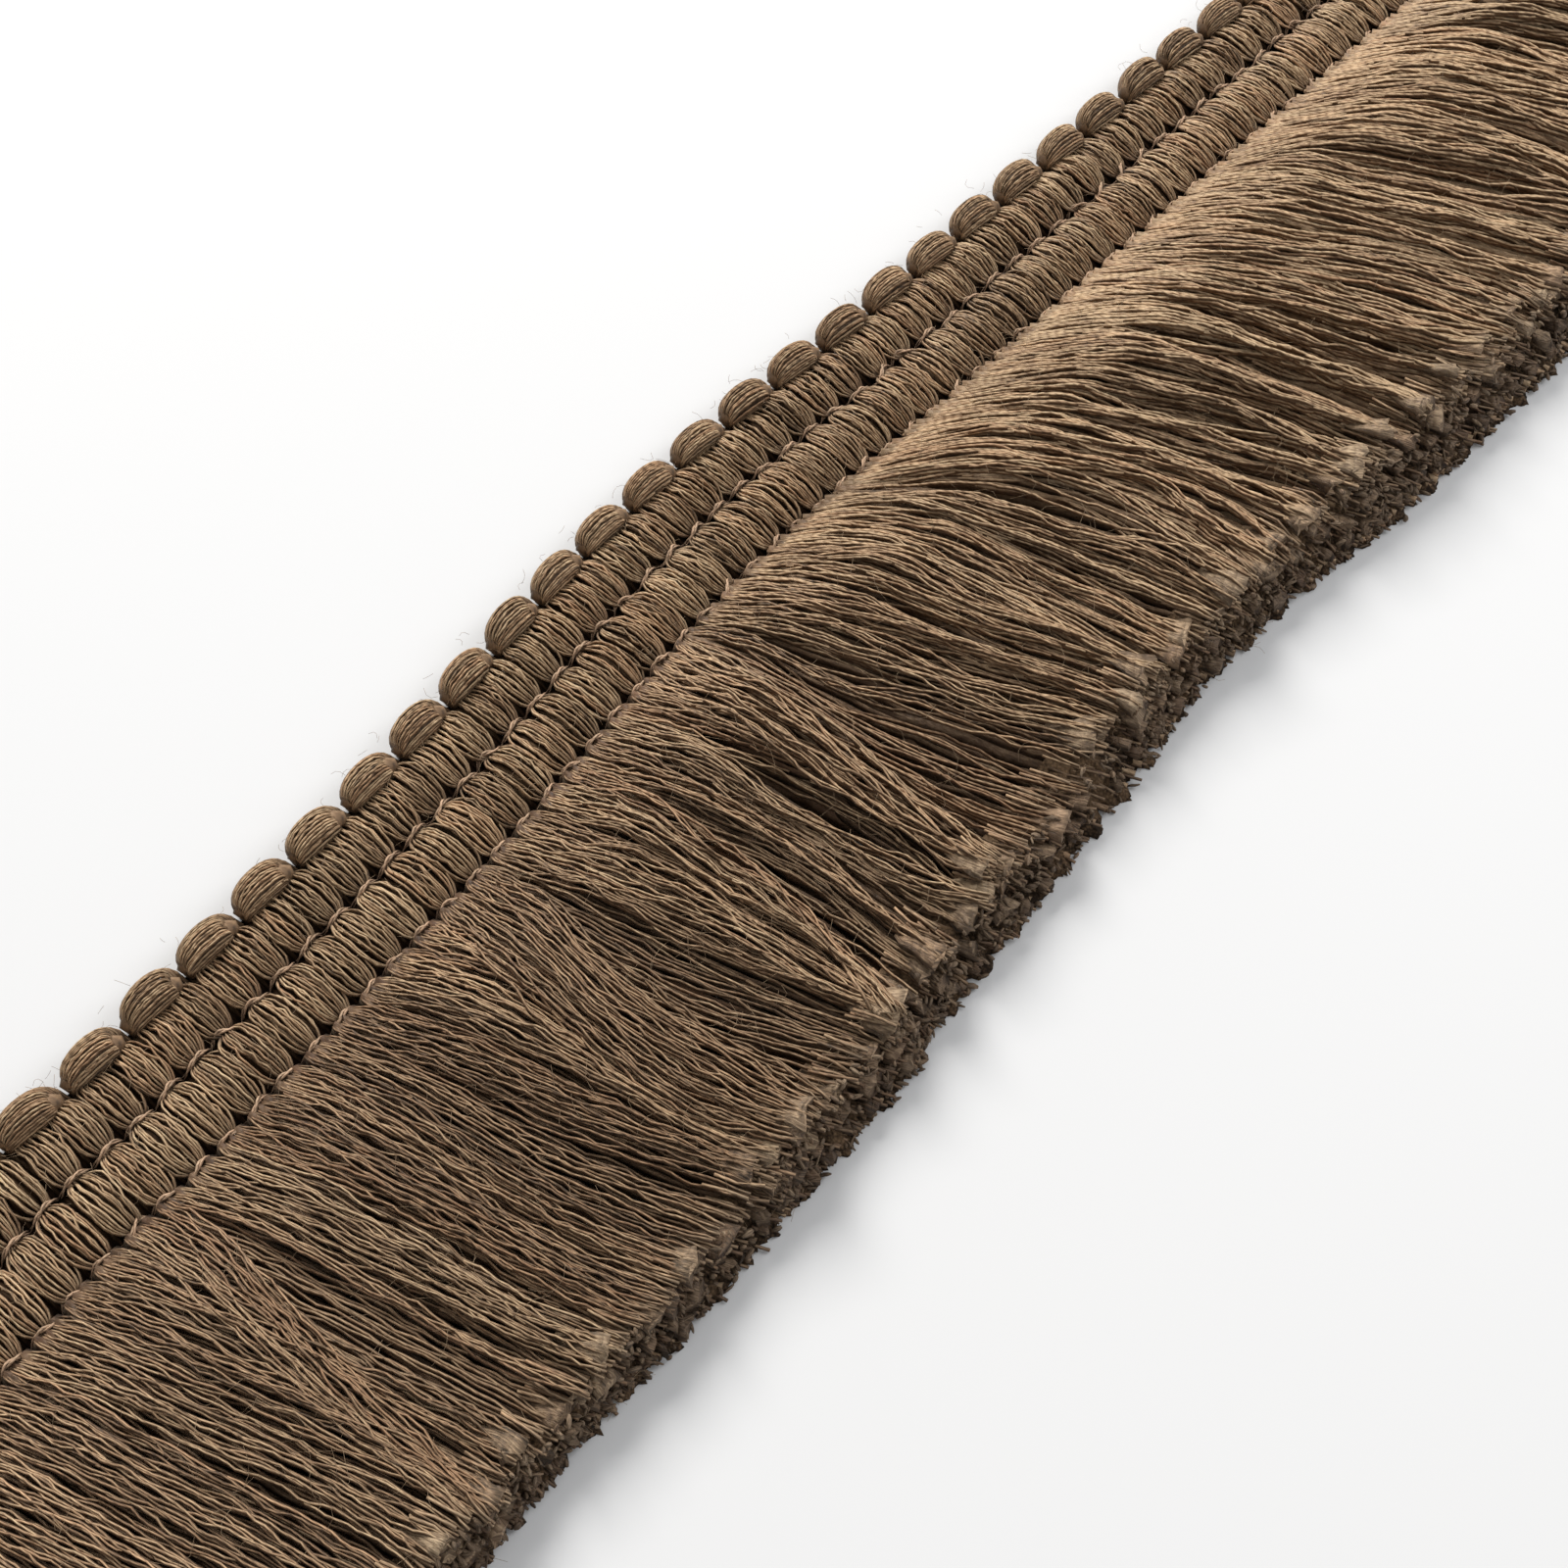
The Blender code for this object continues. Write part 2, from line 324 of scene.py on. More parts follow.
# A yarn material: the twisted yarn group on a rough shader with a soft sheen
def makeYarnMaterial(name, bumpDepth=0.05, sheen=0.10, specular=0.4, **groupValues):
    material, tree, shader = newMaterial(name)
    inputs = {socketName.replace("_", " "): value for socketName, value in groupValues.items()}
    yarn = addNode(tree, "ShaderNodeGroup", inputs, node_tree=twistedYarn)
    bump = {"Strength": 1.0, "Distance": bumpDepth / 1000, "Height": yarn["Height"]}
    setInputs(shader, {
        "Base Color": yarn["Colour"],
        "Metallic": 0.0,
        "Roughness": yarn["Roughness"],
        "Specular IOR Level": specular,
        "Sheen Weight": sheen,
        "Sheen Roughness": 0.45,
        "Sheen Tint": (0.80, 0.62, 0.42),
        "Normal": addNode(tree, "ShaderNodeBump", bump)[0],
    })
    return material


# Lighter colours for the heading and bead yarn, the same yarn as the fringe: painted light, a lit copy of
# its colours
litYarnColours = {"Mid": (0.43, 0.283, 0.158), "Light": (0.93, 0.71, 0.44)}
fringeYarn = makeYarnMaterial("fringeYarn")
headingYarn = makeYarnMaterial("headingYarn", Side_Depth=0.68, **litYarnColours)
beadYarn = makeYarnMaterial("beadYarn", Side_Depth=1.0, **litYarnColours)
deepYarn = makeYarnMaterial("deepYarn", bumpDepth=0.12, Ply_Contrast=0.0, Fibre_Count=14.0)
cutYarn = makeYarnMaterial("cutYarn", bumpDepth=0.03)
crumbYarn = makeYarnMaterial(
    "crumbYarn", bumpDepth=0.10, Ply_Contrast=0.0, Fibre_Count=16.0, Fibre_Contrast=2.4, Side_Depth=0.5,
    Dark=(0.040, 0.024, 0.014), Mid=(0.23, 0.155, 0.095), Light=(0.50, 0.37, 0.24)
)
tuftYarn = makeYarnMaterial(
    "tuftYarn", bumpDepth=0.25, Ply_Contrast=0.0, Fibre_Count=34.0, Fibre_Contrast=2.6, Side_Depth=0.8,
    Mid=(0.275, 0.183, 0.108), Light=(0.62, 0.46, 0.29)
)
bindingThread = makeYarnMaterial(
    "bindingThread", bumpDepth=0.04, Ply_Pitch=0.9, Side_Depth=0.7,
    Mid=(0.40, 0.27, 0.17), Light=(0.78, 0.58, 0.40)
)
# The ground cloth's colours are far darker than the yarn's: painted shade in the gaps and pits between the
# blocks
groundCloth = makeYarnMaterial(
    "groundCloth", bumpDepth=0.05, sheen=0.0, specular=0.03,
    Dark=(0.016, 0.010, 0.006), Mid=(0.100, 0.063, 0.036), Light=(0.26, 0.175, 0.105)
)


# Cells and cloud are per metre, and the bump is in metres
cutGrain = {"cells": 3600.0, "cloud": 700.0, "bump": 0.00012}


# Packed cut ends: small cells, light in their middles and dark between them: the grain of the ends, with
# painted shade in the gaps between them. "tone" makes patches lighter, and its rise towards the top of the
# face is painted light; the shade value darkens the face as painted shade.
def makeCutEnds():
    material, tree, shader = newMaterial("cutEnds")
    coordinates = addNode(tree, "ShaderNodeTexCoord")["Object"]
    pattern = {"Vector": coordinates, "Scale": cutGrain["cells"]}
    cells = addNode(tree, "ShaderNodeTexVoronoi", pattern)["Distance"]
    noise = {"Vector": coordinates, "Scale": cutGrain["cloud"], "Detail": 4.0}
    cloud = addNode(tree, "ShaderNodeTexNoise", noise)[0]
    centre, patches = minus(0.55, times(cells, 0.7)), times(minus(cloud, 0.5), 0.9)
    level = plus(plus(centre, patches), minus(readValue(tree, "tone"), 0.5), clamp=True)
    colour = blendColours(level, yarnColours["dark"], yarnColours["mid"])
    bump = {"Strength": 1.0, "Distance": cutGrain["bump"], "Height": level}
    setInputs(shader, {
        "Base Color": blendColours(readValue(tree, "deep"), colour, yarnColours["deep"], "MULTIPLY"),
        "Roughness": 0.9,
        "Specular IOR Level": 0.2,
        "Normal": addNode(tree, "ShaderNodeBump", bump)[0],
    })
    return material


cutEnds = makeCutEnds()
print("materials made")


# Heading: a thin ground cloth, with two rows of raised blocks of yarn laid side by side on it

heading = {
    "seed": 11,
    "yarnsPerBlock": 12,
    "rings": 14,
    "yarnRadius": 0.155,
    "innerStart": 0.60,       # where the inner row leaves the bead row
    "fullWidth": 1.03,        # width of a block as a share of the pitch, and what it loses at the lines
    "pinch": 0.67,
    "pinchLength": 0.52,
    "lineHeight": 0.78,
    "crestHeight": 2.12,
    "crestSpread": (0.10, 0.13),  # from block to block, and from yarn to yarn
    "sideDrop": 0.20,
    "skew": -0.15,            # how far a yarn leans along the trim over its row
    "sway": 0.20,
    "crimp": 0.085,
    "crimpLength": 2.0,
    "unevenness": 0.030,      # of the yarns' places in a block
    "blockTone": 0.08,        # random spread of tone from block to block, and from yarn to yarn
    "yarnTone": 0.17,
    "lineShadeReach": 0.45,         # reach of the painted shade on a yarn next to each line
    "groundLow": 0.05,
    "groundLine": 0.40,
    "groundHigh": 1.84,
    "groundInner": 0.25,
    "groundOuter": 13.7,
    "groundColumns": 6,       # for each block
    "groundRows": 31,
    "groundLineShade": 1.1,        # reach of the painted shade next to each line
}


# A closed cloth: in every column a loop of points, from the outer edge over the top to the inner one and
# straight back below. The top rises under each block, and dips between the blocks and along the lines.
def addGround():
    columns, rows = heading["groundColumns"] * blockCount + 1, heading["groundRows"]
    stations = np.linspace(heading["groundOuter"], heading["groundInner"], rows)
    along = np.linspace(0, trimLength, columns)
    across = np.append(stations, stations[[-1, 0]])[:, None]
    onBlock = 0.45 + 0.55 * np.abs(np.sin(np.pi * along / blockPitch)) ** 0.5
    height = np.full((rows + 2, columns), heading["groundLine"])
    lines = (heading["innerStart"], trim["stitchLine"], trim["headingOuter"])
    for start, end in zip(lines, lines[1:]):
        hump = np.sin(np.pi * np.clip((across - start) / (end - start), 0, 1)) ** 0.8
        height = height + (heading["groundHigh"] - heading["groundLine"]) * hump * onBlock
    height[-2:] = heading["groundLow"]
    # Painted shade: the cloth darkens towards the stitch lines and the inner edge, in the pits
    dark = sum(np.exp(-(((across - line) / heading["groundLineShade"]) ** 2)) for line in (0.0, *lines[1:]))
    along, across = np.broadcast_arrays(along, across)
    values = {"tone": 0.5, "hue": 0.0, "tip": 0.0, "deep": np.minimum(1.3 * dark, 1.0)}
    uv = np.stack([along / 0.8, across], axis=-1)
    return addLoops("headingGround", toMetres(along, across, height), values, False, uv)


# One row of blocks between two lines. A yarn keeps its place in the block's width, which is the full
# width less pinch exp(-distance / pinchLength). Its height is a flat-topped sine between the two lines,
# a little lower at the block's sides. Yarns darken next to the lines: painted shade in the pits.
def addBlockRow(name, start, end, seed):
    chance = np.random.default_rng(seed)
    perBlock = heading["yarnsPerBlock"]
    yarns = blockCount * perBlock
    block = np.repeat(np.arange(blockCount), perBlock)
    place = np.tile((np.arange(perBlock) + 0.5) / perBlock - 0.5, blockCount)[:, None]
    place = place + chance.normal(0, heading["unevenness"], (yarns, 1))
    share = (1 - np.cos(np.pi * np.linspace(0, 1, heading["rings"])))[None, :] / 2
    hump = np.sin(np.pi * share)
    distance = share * (end - start)
    fromLine = np.minimum(distance, end - start - distance)
    width = heading["fullWidth"] - heading["pinch"] * np.exp(-fromLine / heading["pinchLength"])
    blockSway = chance.normal(0, 1, blockCount)[block, None]
    yarnSway = chance.normal(0, 0.32, (yarns, 1))
    along = (block[:, None] + 0.5 + place * width) * blockPitch
    along = along + heading["skew"] * (share - 0.5) * hump ** 0.5
    along = along + heading["sway"] * (yarnSway * np.sin(2 * np.pi * share) + 0.5 * blockSway * hump)
    along = along + heading["crimp"] * waves(chance, yarns, distance, heading["crimpLength"]) * hump
    across = start + distance + 0.05 * waves(chance, yarns, distance, 5.0) * hump
    blockSpread, yarnSpread = heading["crestSpread"]
    crest = heading["crestHeight"] + chance.normal(0, blockSpread, blockCount)[block, None]
    crest = crest - heading["sideDrop"] * (2 * np.abs(place)) ** 4 + chance.normal(0, yarnSpread, (yarns, 1))
    height = heading["lineHeight"] + (crest - heading["lineHeight"]) * hump ** 0.75
    height = height + 0.05 * waves(chance, yarns, distance, heading["crimpLength"]) * hump
    height = height + 0.07 * (-1.0) ** np.arange(yarns)[:, None] * (1 - hump)
    blockTone = chance.normal(0, heading["blockTone"], blockCount)[block]
    tone = np.clip(0.52 + blockTone + chance.normal(0, heading["yarnTone"], yarns), 0, 1)
    hue = np.clip(chance.normal(0.2, 0.3, yarns) + chance.normal(0, 0.2, blockCount)[block], 0, 1)
    return addTubes(
        name, toMetres(along, across, height), heading["yarnRadius"] / 1000, 3, chance.uniform(0, 5, yarns),
        tone=tone, hue=hue, tip=0.0,
        # Painted shade: darker near each stitch line and at the sides of each block
        deep=np.clip(1.1 * np.exp(-fromLine / heading["lineShadeReach"]) + 0.10 * (2 * np.abs(place)) ** 6, 0, 1),
    )


headingGround = addGround()
dress(headingGround, groundCloth, "heading_yarn", "heading")
innerRow = addBlockRow("innerBlocks", heading["innerStart"], trim["stitchLine"], heading["seed"])
dress(innerRow, headingYarn, "heading_yarn")
outerRow = addBlockRow("outerBlocks", trim["stitchLine"], trim["headingOuter"], heading["seed"] + 1)
dress(outerRow, headingYarn, "heading_yarn")
print("heading made")


# Bead row: each bead is a bundle that turns back round a small hole

beads = {
    "seed": 21,
    "strands": 26,
    "rings": 15,
    "strandRadius": 0.155,
    "start": (-2.95, 0.85),   # from the bead's middle along the trim, and across it
    "outerEnd": (3.00, 0.85),  # where the outer strands end
    "innerEnd": (0.95, 1.20),  # and the inner ones, in the pit
    "swing": 1.30,             # how far the inner strands sweep past the pit
    "bulge": 1.00,             # of the bundle's middle line, away from the trim
    "outer": 1.42,             # bundle's half width and half height
    "high": 1.50,
    # Degrees round the bundle: 0 is outermost, 90 on top and 180 innermost
    "lowestStrand": -72,
    "innermostStrand": 192,
    "inward": (-15, 120),      # between these the strands' ends move from the notch to the pit
    "centreHeight": 1.60,
    "endHeight": 0.80,
    "coreRadius": (0.15, 1.17),
    "sizeSpread": 0.035,       # random spreads, from bead to bead
    "leanSpread": 0.15,
}


# How far along a bead its strands are at each ring, and how wide the bundle is there: the square root
# of half a sine wave, which is round at both ends
def beadProfile(rings):
    share = np.linspace(0, 1, rings)[None, :]
    return (1 - np.cos(np.pi * share)) / 2, np.sin(np.pi * share) ** 0.50


# Strands side by side round a bulging bundle, from the notch at its start to the next notch or to the
# small pit on its inner side. Across is less by (bulge + outer cos place) size, height more by
# high sin place size.
def addBeads():
    chance = np.random.default_rng(beads["seed"])
    strands = beads["strands"]
    count = trim["beadCount"] * strands
    bead = np.repeat(np.arange(trim["beadCount"]), strands)[:, None]
    lowest, innermost = np.radians(beads["lowestStrand"]), np.radians(beads["innermostStrand"])
    beadMiddle = (bead + 0.5) * trim["beadPitch"]
    place = np.tile(np.linspace(lowest, innermost, strands), trim["beadCount"])[:, None]
    place = place + chance.normal(0, 0.05, (count, 1))
    travel, size = beadProfile(beads["rings"])
    inward = ease(place, *np.radians(beads["inward"]))
    outerEnd = np.array(beads["outerEnd"])
    ends = outerEnd + inward * (np.array(beads["innerEnd"]) - outerEnd)
    beadSize = size * chance.normal(1, beads["sizeSpread"], trim["beadCount"])[bead]
    lean = chance.normal(0, beads["leanSpread"], trim["beadCount"])[bead]
    startAlong, startAcross = beads["start"]
    along = beadMiddle + startAlong + (ends[:, :1] - startAlong) * travel + lean * size
    along = along + beads["swing"] * inward * travel * size
    across = startAcross + (ends[:, 1:] - startAcross) * travel
    across = across - (beads["bulge"] + beads["outer"] * np.cos(place)) * beadSize
    middle = beads["endHeight"] + (beads["centreHeight"] - beads["endHeight"]) * size
    height = middle + beads["high"] * beadSize * np.sin(place)
    crimp = waves(chance, count, 6.4 * travel, 2.0) * size
    across = across + 0.07 * crimp * np.sin(place)
    height = height + (0.05 * crimp + chance.normal(0, 0.06, (count, 1))) * size
    height = np.maximum(height, beads["strandRadius"] + 0.03)
    tone = np.clip(chance.normal(0.5, 0.18, count), 0, 1)
    hue = np.clip(chance.normal(0.35, 0.3, count), 0, 1)
    return addTubes(
        "loopBeads", toMetres(along, across, height), beads["strandRadius"] / 1000, 3,
        chance.uniform(0, 5, count), tone=tone, hue=hue, tip=0.0,
        # Painted shade: darker at the narrow ends of each bead, in the notches, and on the inner strands
        # where they go into the pit
        deep=np.clip(0.7 * (1 - size) ** 1.5 + 0.8 * inward * ease(travel, 0.84, 0.99), 0, 1),
    )


# The inside of each bundle, so that no light comes through between the strands
def addBeadCores():
    travel, size = beadProfile(9)
    bead = np.arange(trim["beadCount"])[:, None]
    startAlong, startAcross = beads["start"]
    along = (bead + 0.5) * trim["beadPitch"] + startAlong + 5.2 * travel
    across = startAcross + 0.5 * travel - beads["bulge"] * size
    endRadius, middleRadius = beads["coreRadius"]
    radius = endRadius + (middleRadius - endRadius) * size + 0 * bead
    height = beads["endHeight"] + (beads["centreHeight"] - beads["endHeight"] + 0.05) * size
    return addTubes(
        "beadCores", toMetres(along, across + 0 * bead, height + 0 * bead), radius[..., None] / 1000, 8,
        # Painted shade on the core, which shows only between the strands
        np.zeros(trim["beadCount"]), tone=0.3, hue=0.3, tip=0.0, deep=0.6,
    )


loopBeads = addBeads()
dress(loopBeads, beadYarn, "loop_yarn", "loop_edge")
beadCores = addBeadCores()
dress(beadCores, beadYarn, "loop_yarn")
print("beads made")


# Binding threads: two fine threads wound round each other, over each block and down into each hole

binding = {
    "seed": 31,
    "radius": 0.115,
    "overHeight": 1.46,
    "holeHeight": 0.25,
    "twist": 2.3,             # length of one turn of the pair
    "stepLength": 0.32,
    "heightSpread": 0.09,     # random, from block to block
    "leanSpread": 0.25,
}


# Height is a rounded saw between the hole and the crest of the block, a little different over each
# block. The pair circles round that line.
def addBinding(name, line, seed):
    chance = np.random.default_rng(seed)
    rings = int(trimLength / binding["stepLength"])
    along = np.linspace(0.3, trimLength - 0.3, rings)[None, :]
    block = np.clip((along / blockPitch).astype(int), 0, blockCount - 1)
    over = binding["overHeight"] + chance.normal(0, binding["heightSpread"], blockCount)[block]
    onBlock = np.abs(np.sin(np.pi * along / blockPitch)) ** 0.75
    middle = binding["holeHeight"] + (over - binding["holeHeight"]) * onBlock
    lean = chance.normal(0, binding["leanSpread"], blockCount)[block]
    lean = lean * np.sin(2 * np.pi * along / blockPitch)
    turn = 2 * np.pi * along / binding["twist"] + np.array([[0.0], [np.pi]])
    across = line + lean + 0.10 * waves(chance, 1, along, 11.0) + binding["radius"] * np.cos(turn)
    height = middle + binding["radius"] * np.sin(turn)
    return addTubes(
        name, toMetres(np.broadcast_to(along, across.shape), across, height),
        (binding["radius"] * (0.50 + 0.50 * onBlock) + np.zeros((2, 1)))[..., None] / 1000, 5,
        np.array([0.0, 0.4]), tone=np.array([0.62, 0.80]), hue=np.array([0.2, 0.6]), tip=0.0,
        # Painted shade: the threads darken where they go down into each hole
        deep=(1 - onBlock) ** 1.1 + np.zeros((2, 1)),
    )


for threadName, line, seed in (
    ("bindingInner", trim["stitchLine"], binding["seed"]),
    ("bindingOuter", trim["headingOuter"], binding["seed"] + 1),
):
    dress(addBinding(threadName, line, seed), bindingThread, "heading_yarn")
print("binding threads made")


# Fringe: layers of cut yarn, combed sideways in locks and sheared to a slanted face

fringe = {
    "seed": 41,
    "rootAcross": 12.95,
    "yarnRadius": 0.20,
    "rootHeight": 0.60,
    "pinchShare": 0.74,        # width of a block's yarns at the last stitch line
    "pinchLength": 0.60,
    "rollLength": 11.0,        # over this length the yarns rise to their full height
    "clumpWidth": (0.7, 2.0),
    "clumpBunch": (0.0, 0.55),
    "combSoftness": 0.7,
    "lively": (62, 92),        # up to here the fringe is combed flat and even, and from here it isn't
    "paler": (62, 135),        # and the same for its tone, which grows paler further along: painted light
    "thicker": (75, 150),      # for the thickness of its yarns, and for the painted shade of its lower levels
    "lessShade": (80, 180),
    # Random spread of a lock's sideways sway, height, length, tone and hue
    "lockSpread": {"sway": 0.45, "lift": 0.30, "longer": 0.5, "tone": 0.08, "hue": 0.15},
    # Waves of a yarn: how far, wavelength, and the length over which they grow. The first are sideways,
    # the others up and down.
    "wander": ((0.14, 13.0, 4), (0.11, 5.5, 4), (0.070, 2.6, 1)),
    "bob": ((0.10, 5.0, 3), (0.12, 15.0, 3)),
    "clumpWander": (0.34, 19.0, 4),  # the same sideways for a clump of yarns together
}

# Combing, row by row: the place of the root along the trim, and the sideways shift of its yarns at a
# quarter, a half, three quarters and all of their length
combing = (
    (0, 2.0, 3.5, 5.0, 6.5),
    (18, 2.0, 3.5, 5.0, 6.0),
    (24, 2.0, 4.0, 6.0, 7.5),
    (31, 2.0, 3.5, 5.0, 6.0),
    (37, 2.0, 3.5, 5.0, 7.0),
    (43, 1.5, 3.0, 4.0, 6.0),
    (48, 1.5, 2.0, 3.0, 5.0),
    (51, 1.0, 1.5, 2.5, 4.5),
    (55.5, 1.5, 3.5, 6.0, 9.0),
    (59, 2.0, 3.5, 4.5, 6.5),
    (64, 1.5, 2.0, 2.5, 5.0),
    (69, 1.0, 1.5, 3.5, 6.5),
    (73.5, 1.0, 2.5, 4.5, 6.5),
    (77, 1.3, 2.8, 3.5, 4.5),
    (80, 1.0, 2.0, 2.5, 2.0),
    (86.5, 1.2, 2.5, 2.3, 2.0),
    (90, 1.0, 1.2, 1.5, 4.0),
    (91.5, 1.5, 3.5, 4.0, 3.0),
    (94, 1.0, 1.5, 1.5, 2.5),
    (99, 1.0, 1.0, 2.0, 4.0),
    (104, 2.5, 5.0, 8.0, 11.0),
    (109, 3.0, 5.0, 7.5, 10.5),
    (114, 4.5, 6.5, 7.5, 10.0),
    (119, 6.0, 9.0, 11.5, 14.0),
    (124, 8.0, 13.0, 15.0, 15.0),
    (129, 7.5, 12.0, 15.5, 17.0),
    (134, 6.5, 11.0, 15.0, 18.0),
    (139, 5.5, 10.0, 12.5, 15.0),
    (149, 5.0, 8.5, 11.5, 13.5),
    (159, 3.0, 6.5, 9.5, 14.0),
    (164, 4.5, 9.5, 14.0, 16.0),
    (174, 4.0, 7.5, 11.0, 15.0),
    (179, 6.5, 11.5, 15.5, 17.0),
    (184, 5.5, 10.5, 13.0, 14.5),
    (199, 4.5, 8.5, 11.0, 13.0),
    (237, 3.0, 6.0, 7.5, 9.0),
)

# Bundles of top yarns that lie across their neighbours: roots from and to, the shift of the bundle's
# middle and the share of its width that is drawn in, both at the same four places, and its lift
crossing = (
    (94.6, 101.2, (-0.6, -0.9, -1.6, -1.6), (0.18, 0.27, 0.35, 0.73), 0.8),
    (66.6, 73.6, (-1.1, -2.2, -2.2, -0.5), (-0.15, -0.15, -0.2, 0.1), 0.7),
    (31.6, 36.6, (0.2, -0.8, -1.2, -1.5), (0.0, 0.2, 0.35, 0.4), 0.2),
    (80.1, 85.1, (0.7, 0.8, 0.2, -1.2), (0.18, 0.4, 0.7, 0.8), 0.5),
)

# Partings: place of the root, how far it opens, and the shares of the length between which it shows
partings = (
    (122.0, 1.5, 0.0, 0.75),
    (178.0, 1.5, 0.2, 0.8),
    (158.5, 1.0, 0.25, 0.85),
    (137.5, 0.8, 0.3, 0.8),
    (90.8, 1.0, 0.3, 0.85),
    (102.4, 0.9, 0.12, 0.6),
)

# Heights and the upper cut edge by the place of the root
profile = {
    "along": (0, 59, 86, 101, 120, 134, 149, 199, 237),
    "upperCut": (47.5, 47.9, 47.5, 47.0, 46.6, 46.6, 46.9, 47.3, 47.2),
    "thickness": (4.7, 4.7, 4.7, 4.9, 5.2, 5.6, 5.9, 5.9, 5.9),
}

# The cut edge at the underside, by the place of the root
lowerEdge = {
    "along": (0, 36, 44, 56, 68, 74, 80, 90, 100, 110, 118, 126, 134, 150, 165, 237),
    "across": (
        49.3, 49.5, 50.3, 51.0, 51.4, 51.8, 50.8, 51.0, 50.9, 50.5, 49.7, 49.9, 51.2, 51.8, 51.8, 51.2
    ),
}


# A column of the profile at a place along the trim
def profiled(column, along):
    return np.interp(along, profile["along"], profile[column])


# The curve through 0 at the root and the four given shifts: a polynomial of the fourth degree.
# "shifts" has one row for each yarn.
def shiftCurve(shifts, shares):
    stations = np.array([0, 0.25, 0.5, 0.75, 1])
    bases = np.vander(shares[0], 5) @ np.linalg.inv(np.vander(stations, 5))[:, 1:]
    return np.atleast_2d(shifts) @ bases.T


# The combing table at each root, softened over about a millimetre
def combedShift(roots, shares):
    table = np.array(combing)
    grid = np.arange(-6, trimLength + 6, 0.25)
    reach = np.arange(-12, 13) * 0.25
    kernel = np.exp(-0.5 * (reach / fringe["combSoftness"]) ** 2)
    columns = []
    for column in table[:, 1:].T:
        values = np.pad(np.interp(grid, table[:, 0], column), 12, mode="edge")
        columns.append(np.interp(roots, grid, np.convolve(values, kernel / kernel.sum(), mode="valid")))
    return shiftCurve(np.stack(columns, axis=-1), shares)


# Random locks side by side: edges along the trim, and each lock's own bunching, sway, lift and length
def makeLocks(chance, narrow, wide, bunch=(0.2, 0.72)):
    widths = chance.uniform(narrow, wide, int(trimLength / narrow) + 4)
    edges = np.cumsum(widths) - wide
    count = len(edges)
    locks = {"edges": edges, "bunch": chance.uniform(*bunch, count)}
    for key, spread in fringe["lockSpread"].items():
        locks[key] = chance.normal(0, spread, count)
    locks["start"] = chance.uniform(0.0, 0.4, count)
    return locks


def makeClumps(chance):
    return makeLocks(chance, *fringe["clumpWidth"], bunch=fringe["clumpBunch"])


# A root's lock: the lock's own values, the distance from its middle, and a dome over its width
def lockOf(locks, roots):
    lock = np.clip(np.searchsorted(locks["edges"], roots[:, 0]) - 1, 0, len(locks["edges"]) - 2)
    low, high = locks["edges"][lock][:, None], locks["edges"][lock + 1][:, None]
    own = {key: value[lock][:, None] for key, value in locks.items() if key != "edges"}
    fromMiddle = roots - (low + high) / 2
    return own, fromMiddle, 1 - (2 * fromMiddle / (high - low)) ** 2, lock


# The sum of several rows of waves, each of which grows from the roots
def growingWaves(chance, yarns, distance, rows):
    total = 0
    for amount, wavelength, ramp in rows:
        total = total + amount * waves(chance, yarns, distance, wavelength) * ease(distance, 0, ramp)
    return total


